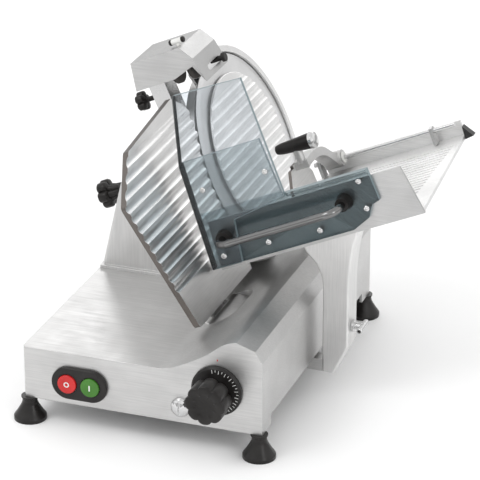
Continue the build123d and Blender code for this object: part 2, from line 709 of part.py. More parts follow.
# ================================================================ carriage rails and foot
BLOCK_Y0, BLOCK_Y1 = -45.0, 35.0
FOOT_Y0, FOOT_Y1 = -12.0, 8.0
TOE_Z0, TOE_Z1 = 26.0, 44.0
ARM_X0, ARM_X1 = 190.0, 228.0
ARM_FRONT_Y, ARM_BACK_Y = -32.0, 8.0

with BuildPart() as slide_rod:
    with BuildSketch(facing_front(SLIDE_X, SLIDE_Z, BASE_HALF_D)):
        Circle(SLIDE_R)
    extrude(amount=2 * BASE_HALF_D)
keep(slide_rod, "slide_rod")

with BuildPart() as slide_rod_caps:
    for end in (-1, 1):
        with BuildSketch(Plane(origin=(SLIDE_X, end * BASE_HALF_D, SLIDE_Z), x_dir=(1, 0, 0), z_dir=(0, 0, 1))):
            with BuildLine():
                Polyline(
                    (0, 0), (14, 0), (14, end * 3), (12.5, end * 5.8), (9.5, end * 8), (5, end * 9.5),
                    (0, end * 10),
                    close=True,
                )
            make_face()
        revolve(axis=Axis((SLIDE_X, 0, SLIDE_Z), (0, 1, 0)))
        # slot for a wide screwdriver
        with BuildSketch(facing_front(SLIDE_X, SLIDE_Z, end * (BASE_HALF_D + 7))):
            Rectangle(2.4, 30)
        extrude(amount=-end * 4, mode=Mode.SUBTRACT)
keep(slide_rod_caps, "slide_rod_caps")

with BuildPart() as guide_rail:
    with BuildSketch(facing_front(RAIL_X, RAIL_Z, BASE_HALF_D - WALL)):
        Rectangle(RAIL_SIDE, RAIL_SIDE)
    extrude(amount=2 * (BASE_HALF_D - WALL))
keep(guide_rail, "guide_rail")

with BuildPart() as slide_block:
    with BuildSketch(facing_front(SLIDE_X + 1, 60, BLOCK_Y1)):
        Rectangle(58, 2 * (60 - TOE_Z1))
    extrude(amount=BLOCK_Y1 - BLOCK_Y0)
    with BuildSketch(facing_front(SLIDE_X, SLIDE_Z, BLOCK_Y1)):
        Circle(SLIDE_R + RUNNING_GAP)
    extrude(amount=BLOCK_Y1 - BLOCK_Y0, mode=Mode.SUBTRACT)
keep(slide_block, "slide_block")

with BuildPart() as carriage_foot:
    with BuildSketch(facing_front(0, 0, FOOT_Y1)):
        with BuildLine():
            Polyline(
                (40, TOE_Z0), (ARM_X0, TOE_Z0), (ARM_X0, TOE_Z1), (131, TOE_Z1), (131, 88), (124, 88),
                (124, TOE_Z1),
                (40, TOE_Z1), close=True,
            )
        make_face()
    extrude(amount=FOOT_Y1 - FOOT_Y0)
    # shoe that wraps the guide rail
    with BuildSketch(facing_front(0, 0, FOOT_Y1)):
        with Locations((145, RAIL_Z)):
            Rectangle(28, 28)
        with Locations((RAIL_X + 3, RAIL_Z)):
            Rectangle(RAIL_SIDE + 6.6, RAIL_SIDE + 0.6, mode=Mode.SUBTRACT)
    extrude(amount=FOOT_Y1 - FOOT_Y0)
keep(carriage_foot, "carriage_foot")

# ================================================================ carriage arm
FLOOR_TOP, FLOOR_T = -88.0, 5.0
ARM_OUT0, ARM_OUT1 = 143.0, 230.0
KNOB_Y, KNOB_Z = -14.0, 106.0
LOCK_PIN_R, LOCK_PIN_L = 4.0, 16.0

with BuildPart() as carriage_arm:
    with BuildSketch(facing_front(0, 0, ARM_BACK_Y)):
        with BuildLine():
            flare_left = section(at(0, FLOOR_TOP - FLOOR_T, ARM_OUT0))
            flare_right = section(at(0, FLOOR_TOP - FLOOR_T, ARM_OUT1))
            Spline(flare_left, (176, 204), (ARM_X0, 160), tangents=((0.3, -1), (0, -1)))
            Polyline((ARM_X0, 160), (ARM_X0, 36), (ARM_X0 + 18, 36), (ARM_X1, 78), (ARM_X1, 170))
            Spline((ARM_X1, 170), (231, 215), flare_right, tangents=((0, 1), (0.35, 1)))
            Line(flare_right, flare_left)
        make_face()
    extrude(amount=ARM_BACK_Y - ARM_FRONT_Y)
    arm_faces = carriage_arm.faces().filter_by(Axis.Y)
    arm_rims = arm_faces.edges().filter_by_position(Axis.Z, 40, 220)
    fillet(arm_rims, radius=3)
    with BuildSketch(Plane.YZ.offset(ARM_X1 - LOCK_PIN_L - 0.5)):
        with Locations((KNOB_Y, KNOB_Z)):
            Circle(LOCK_PIN_R + RUNNING_GAP)
    extrude(amount=LOCK_PIN_L + 5, mode=Mode.SUBTRACT)
keep(carriage_arm, "carriage_arm")

with BuildPart() as arm_lock_knob:
    with BuildSketch(Plane.YZ.offset(ARM_X1 - LOCK_PIN_L)):
        with Locations((KNOB_Y, KNOB_Z)):
            Circle(LOCK_PIN_R)
    extrude(amount=LOCK_PIN_L + 1)
    with BuildSketch(Plane.YZ.offset(ARM_X1 + 0.4)):
        with Locations((KNOB_Y, KNOB_Z)):
            Circle(9)
    extrude(amount=3.6)
    with BuildSketch(Plane.YZ.offset(ARM_X1 + 4)):
        with Locations((KNOB_Y, KNOB_Z)):
            Circle(5)
    extrude(amount=12)
    with BuildSketch(facing_front(ARM_X1 + 16, KNOB_Z, KNOB_Y + 17)):
        Circle(4.5)
    extrude(amount=34)
    fillet(arm_lock_knob.edges().filter_by_position(Axis.X, ARM_X1 + 10, ARM_X1 + 22).filter_by(
        lambda e: abs(abs(e.center().Y - KNOB_Y) - 17) < 0.1), radius=2)
keep(arm_lock_knob, "arm_lock_knob")

# ================================================================ tray
TRAY_NEAR, TRAY_FAR = -252.0, 74.0
TRAY_IN = 12.0
TRAY_OUT_NEAR, TRAY_OUT_FAR = 333.0, 300.0
WALL_T = 4.0
WALL_TOP = -20.0
FAR_WALL_H = 22.0

with BuildPart() as tray_floor:
    with BuildSketch(TRAY.offset(FLOOR_TOP - FLOOR_T)):
        with BuildLine():
            Polyline(
                (TRAY_IN, TRAY_NEAR + WALL_T), (TRAY_OUT_NEAR - 2, TRAY_NEAR + WALL_T),
                (TRAY_OUT_FAR, TRAY_FAR),
                (TRAY_IN + 60, TRAY_FAR), (TRAY_IN, TRAY_FAR - 110), close=True,
            )
        make_face()
    extrude(amount=FLOOR_T)
    # fine ribs that run down the slope
    with BuildSketch(TRAY.offset(FLOOR_TOP)):
        for k in range(22):
            with Locations(((TRAY_IN + 100 + TRAY_OUT_FAR) / 2 - 20, TRAY_NEAR + 22 + k * 12)):
                Rectangle(TRAY_OUT_FAR - TRAY_IN - 70, 3)
    extrude(amount=1.2)
    # low wall along the far edge, behind the pusher's rod
    with BuildSketch(TRAY.offset(FLOOR_TOP)):
        with Locations(((TRAY_IN + 60 + TRAY_OUT_FAR) / 2, TRAY_FAR - 2)):
            Rectangle(TRAY_OUT_FAR - TRAY_IN - 60, 4)
    extrude(amount=FAR_WALL_H)
keep(tray_floor, "tray_floor")

with BuildPart() as tray_wall:
    with BuildSketch(CROSS.offset(-TRAY_NEAR)):
        with BuildLine():
            Polyline(
                (TRAY_IN, FLOOR_TOP - FLOOR_T), (TRAY_OUT_NEAR, FLOOR_TOP - FLOOR_T),
                (TRAY_OUT_NEAR - 9, WALL_TOP),
                (TRAY_IN + 8, WALL_TOP), close=True,
            )
        make_face()
    extrude(amount=-WALL_T)
keep(tray_wall, "tray_wall")

# ================================================================ hand guards and handle
GUARD_T = 6.0


def left_front_edges(builder):
    """Edges of a guard's front face that run up its left side, next to the blade."""
    front_face = builder.faces().filter_by(Axis.Y).sort_by(SortBy.AREA)[-2:].sort_by(Axis.Y)[0]
    chosen = []
    for edge in front_face.edges():
        offset = edge.center() - BLADE_CENTRE
        if offset.dot(N_DIR) < 40 and offset.dot(U_DIR) > -80:
            chosen.append(edge)
    return chosen


with BuildPart() as front_hand_guard:
    with BuildSketch(CROSS.offset(-TRAY_NEAR)):
        with BuildLine():
            Polyline(
                (4, -87), (20, 74), (147, 75), (147, -8), (280, -8), (280, -56), (268, -59), (256, -76),
                (228, -87),
                close=True,
            )
        make_face()
    extrude(amount=GUARD_T)
    # folded rim along the top edge
    with BuildSketch(CROSS.offset(-TRAY_NEAR + GUARD_T)):
        with Locations((218, -10.5)):
            Rectangle(124, 5)
    extrude(amount=5)
    chamfer(left_front_edges(front_hand_guard), length=2.5)
keep(front_hand_guard, "front_hand_guard")

with BuildPart() as blade_hand_guard:
    with BuildSketch(CROSS.offset(-TRAY_NEAR + GUARD_T)):
        with BuildLine():
            Polyline((3, -86), (18, 70), (52, 170), (160, 165), (153, -12), (66, -24), (52, -86), close=True)
        make_face()
    extrude(amount=GUARD_T)
    chamfer(left_front_edges(blade_hand_guard), length=2.5)
keep(blade_hand_guard, "blade_hand_guard")

GUARD_SCREWS = [(262, -22), (258, -62), (180, -74), (100, -70), (30, -70), (140, 30), (40, 30)]
with BuildPart() as guard_screws:
    for out, up in GUARD_SCREWS:
        head = GUARD_T if out > 150 or (out == 100) else 2 * GUARD_T
        with BuildSketch(CROSS.offset(-TRAY_NEAR + head)):
            with Locations((out, up)):
                Circle(4.5)
        extrude(amount=2.5)
keep(guard_screws, "guard_screws")

HANDLE_UP = -44.0
HANDLE_OUT0, HANDLE_OUT1 = 43.0, 232.0
with BuildPart() as handle_mounts:
    for out, face in ((HANDLE_OUT0, 2 * GUARD_T), (HANDLE_OUT1, GUARD_T)):
        with BuildSketch(CROSS.offset(-TRAY_NEAR + face)):
            with Locations((out, HANDLE_UP)):
                Circle(12)
        extrude(amount=22 - face, taper=8)
keep(handle_mounts, "handle_mounts")

with BuildPart() as carriage_handle:
    with BuildLine() as handle_path:
        handle_points = [
            at(TRAY_NEAR - 22, HANDLE_UP, HANDLE_OUT0), at(TRAY_NEAR - 48, HANDLE_UP, HANDLE_OUT0),
            at(TRAY_NEAR - 48, HANDLE_UP, HANDLE_OUT1), at(TRAY_NEAR - 22, HANDLE_UP, HANDLE_OUT1),
        ]
        FilletPolyline(*handle_points, radius=18)
    with BuildSketch(Plane(origin=handle_path.line @ 0, z_dir=handle_path.line % 0)):
        Circle(5.5)
    sweep()
keep(carriage_handle, "carriage_handle")

# ================================================================ meat pusher
ROD_BACK, ROD_UP, ROD_R = 56.0, -66.0, 3.5
ROD_OUT0, ROD_OUT1 = 62.0, 296.0
HUB_OUT, HUB_L = 96.0, 30.0
BRACKET_OUT = 256.0
BRACKET_LOW = FLOOR_TOP - ROD_UP + 1.2
END_BRACKET = [(TRAY_OUT_FAR + 2, FLOOR_TOP - 5), (TRAY_OUT_FAR + 16, FLOOR_TOP - 3), (TRAY_OUT_FAR + 4, -73)]
PUSH_BACK = -50.0

with BuildPart() as pusher_rod:
    with BuildSketch(out_axis(ROD_BACK, ROD_UP, ROD_OUT0)):
        Circle(ROD_R)
    extrude(amount=ROD_OUT1 - ROD_OUT0)
keep(pusher_rod, "pusher_rod")

with BuildPart() as rod_brackets:
    for out in (ROD_OUT0 + 6, BRACKET_OUT):
        with BuildSketch(out_axis(ROD_BACK, ROD_UP, out)):
            with BuildLine():
                Polyline((-7, BRACKET_LOW), (8, BRACKET_LOW), (8, 3), (4, 6.5), (-5, 5), close=True)
            make_face()
            Circle(ROD_R, mode=Mode.SUBTRACT)
        extrude(amount=5)
    # triangular end bracket outside the far wall
    with BuildSketch(CROSS.offset(-ROD_BACK - 2)):
        with BuildLine():
            Polyline(*END_BRACKET, close=True)
        make_face()
    extrude(amount=-12)
keep(rod_brackets, "rod_brackets")

with BuildPart() as pusher_sleeve:
    with BuildSketch(out_axis(ROD_BACK, ROD_UP, HUB_OUT - HUB_L / 2)):
        Circle(ROD_R + 3)
        Circle(ROD_R + RUNNING_GAP, mode=Mode.SUBTRACT)
    extrude(amount=HUB_L)
    for out in (HUB_OUT - HUB_L / 2 - 2, HUB_OUT + HUB_L / 2):
        with BuildSketch(out_axis(ROD_BACK, ROD_UP, out)):
            Circle(ROD_R + 5)
            Circle(ROD_R + RUNNING_GAP, mode=Mode.SUBTRACT)
        extrude(amount=2)
keep(pusher_sleeve, "pusher_sleeve")

with BuildPart() as pusher_handle:
    with BuildSketch(CROSS.offset(-PUSH_BACK)):
        with BuildLine():
            Polyline((122, 12), (122, 0), (64, 0), (64, 4), (65.5, 6.5))
            Spline((65.5, 6.5), (90, 9.5), (122, 12), tangents=((1, 0.35), (1, 0.05)))
        make_face()
    revolve(axis=Axis(at(PUSH_BACK, 0, 0), N_DIR))
keep(pusher_handle, "pusher_handle")

with BuildPart() as pusher_arm:
    with BuildSketch(out_axis(ROD_BACK, ROD_UP, HUB_OUT - HUB_L / 2 + 0.3)):
        Circle(ROD_R + 9)
    extrude(amount=HUB_L - 0.6)
    with BuildSketch(out_axis(ROD_BACK, ROD_UP, HUB_OUT - 11)):
        with BuildLine():
            Spline((-4, 11.5), (-40, 34), (-78, 44), (-112, 42), tangents=((-1, 0.2), (-1, -0.2)))
            Line((-112, 42), (-112, 30))
            Spline((-112, 30), (-78, 31), (-42, 20), (-12, -6), tangents=((1, 0.2), (1, -0.8)))
            Line((-12, -6), (-4, 11.5))
        make_face()
    extrude(amount=22)
    # boss that carries the handle
    with BuildSketch(TRAY.offset(ROD_UP + 38)):
        with Locations((HUB_OUT, PUSH_BACK)):
            Circle(7)
    extrude(amount=-ROD_UP - 38 - 4)
    add(pusher_handle.part, mode=Mode.SUBTRACT)
    with BuildSketch(out_axis(ROD_BACK, ROD_UP, HUB_OUT - HUB_L / 2)):
        Circle(ROD_R + 3 + RUNNING_GAP)
    extrude(amount=HUB_L, mode=Mode.SUBTRACT)
keep(pusher_arm, "pusher_arm")

PLATE_OUT = HUB_OUT - 16
with BuildPart() as pusher_plate:
    with BuildSketch(out_axis(PUSH_BACK, 0, PLATE_OUT)):
        with BuildLine():
            Polyline((-44, -84), (44, -84), (44, -56), (24, -30), (-24, -30), (-44, -56), close=True)
        make_face()
    extrude(amount=5)
    # rows of pyramid teeth on the face towards the blade
    with BuildSketch(out_axis(PUSH_BACK, 0, PLATE_OUT)):
        with Locations((0, -70)):
            with GridLocations(11, 10, 7, 2):
                Rectangle(6, 6)
    extrude(amount=-5, taper=28)
    with BuildSketch(out_axis(PUSH_BACK, 0, PLATE_OUT)):
        with Locations((-2, -31)):
            Rectangle(20, 10)
    extrude(amount=5)
keep(pusher_plate, "pusher_plate")

with BuildPart() as pusher_handle_cap:
    with BuildSketch(CROSS.offset(-PUSH_BACK)):
        with BuildLine():
            Polyline((122, 0), (122, 12.5), (127, 12.5), (130, 10.5), (131.5, 6), (132, 0), close=True)
        make_face()
    revolve(axis=Axis(at(PUSH_BACK, 0, 0), N_DIR))
keep(pusher_handle_cap, "pusher_handle_cap")

# ================================================================ sharpener
SHARP_BACK0, SHARP_BACK1 = -112.0, -24.0
SHARP_WALL = 3.0
SHARP_TOP = 202.0
STONE_R = 19.0
STONE_BACK, STONE_UP = -86.0, 166.0

POST_OUT, POST_W, POST_D, POST_TOP = -46.0, 26.0, 34.0, 182.0
KNOB_BACK, KNOB_UP = -94.0, 140.0
SPINDLE_R = 4.0
TUBE_LOW, TUBE_HIGH, SHELF_UP, SHELF_T = 161.0, 198.5, 188.5, 8.0


def roof_up(out):
    """Height up the blade of the column's sloping roof, at a distance behind the blade's face."""
    ridge = Vector(column_right_x(COLUMN_TOP_Z, DISC_BACK), 0, COLUMN_TOP_Z) - BLADE_CENTRE
    eave = Vector(-108, 0, COLUMN_TOP_Z - 26) - BLADE_CENTRE
    run = (out - ridge.dot(N_DIR)) / (eave.dot(N_DIR) - ridge.dot(N_DIR))
    return ridge.dot(U_DIR) + run * (eave.dot(U_DIR) - ridge.dot(U_DIR))


with BuildPart() as sharpener_post:
    post_left, post_right = POST_OUT - POST_W / 2, POST_OUT + POST_W / 2
    with BuildSketch(CROSS.offset(-STONE_BACK + POST_D / 2)):
        with BuildLine():
            Polyline(
                (post_left, roof_up(post_left)), (post_right, roof_up(post_right)), (post_right, POST_TOP),
                (post_left, POST_TOP), close=True,
            )
        make_face()
    extrude(amount=-POST_D)
    with BuildSketch(out_axis(KNOB_BACK, KNOB_UP, POST_OUT - POST_W / 2)):
        Circle(SPINDLE_R + RUNNING_GAP)
    extrude(amount=14, mode=Mode.SUBTRACT)
keep(sharpener_post, "sharpener_post")

with BuildPart() as sharpener_knob:
    with BuildSketch(out_axis(KNOB_BACK, KNOB_UP, -88)):
        with BuildLine():
            lobed_outline(14, 5, 3)
        make_face()
    extrude(amount=13)
    with BuildSketch(out_axis(KNOB_BACK, KNOB_UP, -75)):
        Circle(SPINDLE_R)
    extrude(amount=75 + POST_OUT - POST_W / 2 + 12)
keep(sharpener_knob, "sharpener_knob")


def sharpener_outline(inset):
    """Top and sides of the sharpener hood, seen from the operator's side, from left to right."""
    return [
        (-67 + 0.8 * inset, SHARP_TOP - inset), (15 - 0.5 * inset, SHARP_TOP - inset),
        (29 - 0.9 * inset, 181 - 0.5 * inset),
    ]


HOOD_LEFT, HOOD_RIGHT = (-76, 160), (35.5, 143)
BUTTON_BACK, BUTTON_UP, BUTTON_HEAD = -42.5, 155.0, 39.5
LEVER_OUT, LEVER_BACK = 8.0, -95.0

with BuildPart() as sharpener_hood:
    with BuildSketch(CROSS.offset(-SHARP_BACK0)):
        with BuildLine():
            Polyline(HOOD_LEFT, *sharpener_outline(0), HOOD_RIGHT, (23, 170), (-10, 160), close=True)
        make_face()
    extrude(amount=SHARP_BACK0 - SHARP_BACK1)
    with BuildSketch(CROSS.offset(-SHARP_BACK0 - SHARP_WALL)):
        with BuildLine():
            Polyline((-74, 120), (-73, 160), *sharpener_outline(SHARP_WALL), (36, 120), close=True)
        make_face()
    extrude(amount=SHARP_BACK0 - SHARP_BACK1 + 2 * SHARP_WALL, mode=Mode.SUBTRACT)
    # the mouth in the rear wall that drops over the blade and its ring
    with BuildSketch(CROSS.offset(-SHARP_BACK1 + SHARP_WALL + 1)):
        with BuildLine():
            Polyline((-38, 120), (-38, 168), (-20, 195), (8, 195), (8, 120), close=True)
        make_face()
    extrude(amount=-SHARP_WALL - 2, mode=Mode.SUBTRACT)
    # notch in the left wall that clears the clamp knob
    with BuildSketch(TRAY.offset(100)):
        with Locations((-80, STONE_BACK)):
            Rectangle(24, 46)
    extrude(amount=86, mode=Mode.SUBTRACT)
    # slot for the deburring button, and a hole for the lever's pin
    with BuildSketch(out_axis((SHARP_BACK0 + SHARP_BACK1) / 2 + 6, BUTTON_UP, 24)):
        SlotOverall(48, 2 * SPINDLE_R + 1)
    extrude(amount=20, mode=Mode.SUBTRACT)
    with BuildSketch(TRAY.offset(SHARP_TOP - SHARP_WALL - 1)):
        with Locations((LEVER_OUT, LEVER_BACK)):
            Circle(3 + RUNNING_GAP)
    extrude(amount=SHARP_WALL + 2, mode=Mode.SUBTRACT)
keep(sharpener_hood, "sharpener_hood")

with BuildPart() as sharpener_carrier:
    # square tube that slides on the post, and the shelf across the blade
    with BuildSketch(TRAY.offset(TUBE_LOW)):
        with Locations((POST_OUT, STONE_BACK)):
            Rectangle(37, 45.6)
            Rectangle(POST_W + 0.6, POST_D + 0.6, mode=Mode.SUBTRACT)
    extrude(amount=TUBE_HIGH - TUBE_LOW)
    with BuildSketch(TRAY.offset(SHELF_UP)):
        with Locations((-7, STONE_BACK)):
            Rectangle(42, 30)
    extrude(amount=SHELF_T)
    # lugs and spindles for the two stones
    for lug_out, spindle_out in ((-26, -24), (3.5, 3.5)):
        with BuildSketch(out_axis(STONE_BACK, STONE_UP + 9, lug_out)):
            Rectangle(16, 34)
        extrude(amount=4.5)
        with BuildSketch(out_axis(STONE_BACK, STONE_UP, spindle_out)):
            Circle(SPINDLE_R)
        extrude(amount=14)
keep(sharpener_carrier, "sharpener_carrier")

for label, out in (("grinding_stone", -19.0), ("deburring_stone", 8.5)):
    with BuildPart() as stone:
        with BuildSketch(out_axis(STONE_BACK, STONE_UP, out)):
            Circle(STONE_R)
        extrude(amount=9)
        chamfer(stone.edges().filter_by(GeomType.CIRCLE), length=1.2)
        with BuildSketch(out_axis(STONE_BACK, STONE_UP, out)):
            Circle(SPINDLE_R + RUNNING_GAP)
        extrude(amount=9, mode=Mode.SUBTRACT)
    keep(stone, label)

with BuildPart() as deburring_button:
    with BuildSketch(out_axis(BUTTON_BACK, BUTTON_UP, BUTTON_HEAD - 20)):
        Circle(SPINDLE_R)
    extrude(amount=20)
    with BuildSketch(out_axis(BUTTON_BACK, BUTTON_UP, BUTTON_HEAD)):
        Circle(7)
    extrude(amount=5)
    fillet(deburring_button.faces().sort_by(Axis.X)[-1].edges(), radius=1.2)
keep(deburring_button, "deburring_button")

with BuildPart() as sharpener_lever:
    with BuildSketch(TRAY.offset(SHARP_TOP - SHARP_WALL)):
        with Locations((LEVER_OUT, LEVER_BACK)):
            Circle(3)
    extrude(amount=SHARP_WALL + 4)
    with BuildSketch(out_axis(LEVER_BACK, SHARP_TOP + 7, LEVER_OUT - 11)):
        Circle(4)
    extrude(amount=22)
keep(sharpener_lever, "sharpener_lever")

# ================================================================ write out
# the files' origin is on the table under the middle of the slicer's whole outline
FILE_ORIGIN = Vector(41.0, 43.5, 0.0)
TO_FILE_ORIGIN = Location(FILE_ORIGIN * -1)

os.makedirs("parts", exist_ok=True)
for piece in PIECES:
    moved_piece = piece.moved(TO_FILE_ORIGIN)
    moved_piece.label = piece.label
    export_step(moved_piece, f"parts/{piece.label}.step")
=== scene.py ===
"""Looks, floor, light and camera for the deli meat slicer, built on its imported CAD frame."""
import json
import math

import bpy
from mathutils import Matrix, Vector


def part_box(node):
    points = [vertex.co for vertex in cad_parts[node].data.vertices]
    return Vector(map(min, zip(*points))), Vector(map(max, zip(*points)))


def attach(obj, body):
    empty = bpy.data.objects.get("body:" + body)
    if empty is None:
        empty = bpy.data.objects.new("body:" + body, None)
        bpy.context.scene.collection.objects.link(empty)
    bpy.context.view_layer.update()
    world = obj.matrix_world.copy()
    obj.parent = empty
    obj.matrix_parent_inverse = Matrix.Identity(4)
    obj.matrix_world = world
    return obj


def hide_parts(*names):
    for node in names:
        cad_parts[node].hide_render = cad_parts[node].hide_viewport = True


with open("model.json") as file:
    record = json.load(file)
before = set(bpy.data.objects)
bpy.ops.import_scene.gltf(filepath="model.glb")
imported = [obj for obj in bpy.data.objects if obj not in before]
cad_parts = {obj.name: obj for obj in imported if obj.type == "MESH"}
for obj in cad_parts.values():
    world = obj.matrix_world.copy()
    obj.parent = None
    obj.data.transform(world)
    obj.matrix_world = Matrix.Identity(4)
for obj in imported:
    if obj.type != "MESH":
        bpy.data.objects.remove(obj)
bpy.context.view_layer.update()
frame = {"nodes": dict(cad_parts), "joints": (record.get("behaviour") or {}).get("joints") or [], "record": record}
NODES = frame["nodes"]
JOINTS = {joint["name"]: joint for joint in frame["joints"]}
MM = 0.001

# OUT is square to the leaning blade, and UP runs up its face. The operator stands at FRONT.
OUT = Vector(JOINTS["gauge_slide"]["axis"]).normalized()
UP = Vector(JOINTS["sharpener_lower"]["axis"]).normalized()
BACK = Vector((0, 1, 0))
FRONT = Vector((0, -1, 0))
RIGHT = Vector((1, 0, 0))
UPRIGHT = Vector((0, 0, 1))

# ------------------------------------------------------------ node helpers


def new_material(name):
    """An empty material and a small function that adds nodes to it."""
    material = bpy.data.materials.new(name)
    material.use_nodes = True
    tree = material.node_tree
    tree.nodes.clear()

    def add(kind, links=None, **settings):
        node = tree.nodes.new(kind)
        for key, value in settings.items():
            setattr(node, key, value)
        for key, value in (links or {}).items():
            if isinstance(value, bpy.types.NodeSocket):
                tree.links.new(value, node.inputs[key])
            else:
                node.inputs[key].default_value = value
        return node

    return material, add


def maths(add, operation, *values):
    """The result of one maths node."""
    return add("ShaderNodeMath", dict(enumerate(values)), operation=operation).outputs[0]


def along_direction(add, vector, direction):
    """A vector socket's reach along a fixed direction."""
    product = add("ShaderNodeVectorMath", {0: vector, 1: tuple(direction)}, operation="DOT_PRODUCT")
    return product.outputs["Value"]


def stretched_noise(add, stretch, scale, detail):
    """Noise in object space, drawn out along the axis with the small stretch value."""
    coords = add("ShaderNodeTexCoord").outputs["Object"]
    mapping = add("ShaderNodeMapping", {"Vector": coords, "Scale": stretch})
    inputs = {"Vector": mapping.outputs["Vector"], "Scale": scale, "Detail": detail}
    return add("ShaderNodeTexNoise", inputs).outputs["Fac"]


def ramp(add, value, low, high, start=0.3, end=0.7):
    """Maps a value between start and end to the range low..high."""
    inputs = {"Value": value, "From Min": start, "From Max": end, "To Min": low, "To Max": high}
    return add("ShaderNodeMapRange", inputs).outputs["Result"]


def colour_mix(add, factor, first, second):
    """Mixes two colours by a factor socket."""
    mix = add("ShaderNodeMix", data_type="RGBA")
    node_tree = mix.id_data
    for index, value in ((0, factor), (6, first), (7, second)):
        if isinstance(value, bpy.types.NodeSocket):
            node_tree.links.new(value, mix.inputs[index])
        else:
            mix.inputs[index].default_value = value
    return mix.outputs[2]


def shader_mix(add, factor, first, second):
    """Mixes two shaders by a factor."""
    return add("ShaderNodeMixShader", {"Fac": factor, 1: first, 2: second}).outputs[0]


def grey(value):
    """An opaque grey."""
    return (value, value, value, 1.0)


def opaque(colour):
    """A colour of three values, with full alpha."""
    return tuple(colour) + (1,)


def surface(add, shader):
    """Makes a shader the material's surface."""
    add("ShaderNodeOutputMaterial", {"Surface": shader})


BUMP_DEPTH = 0.4 * MM
BEVEL_SAMPLES = 4


def soft_edges(add, height, strength, radius):
    """A bump on top of a rounded-edge normal."""
    bevel = add("ShaderNodeBevel", {"Radius": radius}, samples=BEVEL_SAMPLES)
    inputs = {
        "Height": height,
        "Strength": strength,
        "Distance": BUMP_DEPTH,
        "Normal": bevel.outputs["Normal"],
    }
    return add("ShaderNodeBump", inputs).outputs["Normal"]


# ------------------------------------------------------------ materials

# The grain runs along the axis in the name, or is the same every way.
ALONG_X, ALONG_Y, ALONG_Z = (0.03, 1, 1), (1, 0.03, 1), (1, 1, 0.03)
EVEN = (1, 1, 1)
SMUDGE_STRETCH = (1, 0.6, 1)

# A scale is about how many spots a noise has in a metre, and the detail is how finely they break up.
METAL_CLOUD = {"scale": 14.0, "detail": 3.0}
METAL_SMUDGE = {"scale": 55.0, "detail": 5.0}
MOULDED_CLOUD = {"scale": 30.0, "detail": 4.0}
CLIP_GRAIN = {"scale": 500.0, "detail": 5.0}
ACRYLIC_CLOUD = {"scale": 16.0, "detail": 3.0}
FLOOR_CLOUD = {"scale": 3.0, "detail": 3.0}
METAL_DETAIL, PEBBLE_DETAIL = 6.0, 8.0

# A shade is the part of a metal's own tone that its cloudy patches and its streaks keep, and the
# streaks' share is how strongly they show.
CLOUD_SHADE, STREAK_SHADE, STREAK_SHARE = 0.86, 0.7, 0.35
GRAIN_START, GRAIN_END = 0.35, 0.65
SMUDGE_GLOSSY, SMUDGE_DULL, GRAIN_ROUGH = 0.94, 1.08, 0.04
# Painted shade for a plate's narrow faces and steep groove walls, and the facing below which a face gets it.
SIDE_PAINTED_SHADE = (0.16, 0.145, 0.135, 1)
PAINTED_SHADE_FACING = 0.3


def warm_tone(tone, warm):
    """A grey with a little less green, and less blue still."""
    return (tone, tone * (1 - 0.4 * warm), tone * (1 - warm), 1)


def metal(name, tone, rough, stretch, grain, bump, edge, warm=0.0, sheet_side=None):
    """Satin or brushed metal: fine grain along one axis, cloudy tone, slight smudges, rounded edges.

    With sheet_side, the direction that a plate's broad faces look along, its narrow faces and the steep walls of
    its grooves get painted shade: a dark colour chosen by which way they face.
    """
    material, add = new_material(name)
    fine = stretched_noise(add, stretch, grain, METAL_DETAIL)
    cloud = stretched_noise(add, EVEN, **METAL_CLOUD)
    smudge = stretched_noise(add, SMUDGE_STRETCH, **METAL_SMUDGE)
    patch, plain = warm_tone(tone * CLOUD_SHADE, warm), warm_tone(tone, warm)
    base = colour_mix(add, ramp(add, cloud, 0, 1), patch, plain)
    streak = ramp(add, fine, 0, STREAK_SHARE, GRAIN_START, GRAIN_END)
    colour = colour_mix(add, streak, base, grey(tone * STREAK_SHADE))
    if sheet_side is not None:
        normal = add("ShaderNodeTexCoord").outputs["Normal"]
        facing = maths(add, "ABSOLUTE", along_direction(add, normal, sheet_side))
        # Faces that look little along sheet_side get painted shade in place of their metal colour.
        colour = colour_mix(add, maths(add, "LESS_THAN", facing, PAINTED_SHADE_FACING), colour, SIDE_PAINTED_SHADE)
    rough_smudge = ramp(add, smudge, rough * SMUDGE_GLOSSY, rough * SMUDGE_DULL)
    rough_grain = ramp(add, fine, -GRAIN_ROUGH, GRAIN_ROUGH, GRAIN_START, GRAIN_END)
    inputs = {
        "Base Color": colour,
        "Metallic": 1.0,
        "Roughness": maths(add, "ADD", rough_smudge, rough_grain),
        "Normal": soft_edges(add, fine, bump, edge),
    }
    surface(add, add("ShaderNodeBsdfPrincipled", inputs).outputs["BSDF"])
    return material


PALE_SCALE, PALE_LIFT = 1.35, 0.012
PATCH_GLOSSY, PATCH_DULL = 0.8, 1.25
MOULDED_SPECULAR = 0.3
MOULDED_EDGE = 0.7 * MM


def moulded(name, colour, rough, grain=260.0, bump=0.15, coat=0.0):
    """Moulded plastic or rubber: fine pebble, cloudy colour and gloss, rounded edges."""
    material, add = new_material(name)
    fine = stretched_noise(add, EVEN, grain, PEBBLE_DETAIL)
    cloud = stretched_noise(add, EVEN, **MOULDED_CLOUD)
    pale = tuple(min(1.0, part * PALE_SCALE + PALE_LIFT) for part in colour)
    inputs = {
        "Base Color": colour_mix(add, ramp(add, cloud, 0, 1), opaque(colour), opaque(pale)),
        "Roughness": ramp(add, cloud, rough * PATCH_GLOSSY, rough * PATCH_DULL),
        "Specular IOR Level": MOULDED_SPECULAR,
        "Coat Weight": coat,
        "Normal": soft_edges(add, fine, bump, MOULDED_EDGE),
    }
    surface(add, add("ShaderNodeBsdfPrincipled", inputs).outputs["BSDF"])
    return material


CLIP_DARK, CLIP_PALE = grey(0.50), grey(0.62)
CAP_DARK, CAP_PALE = grey(0.005), grey(0.010)
CLIP_ROUGH = (0.32, 0.44)
CLIP_BUMP, CLIP_EDGE = 0.06, 0.5 * MM


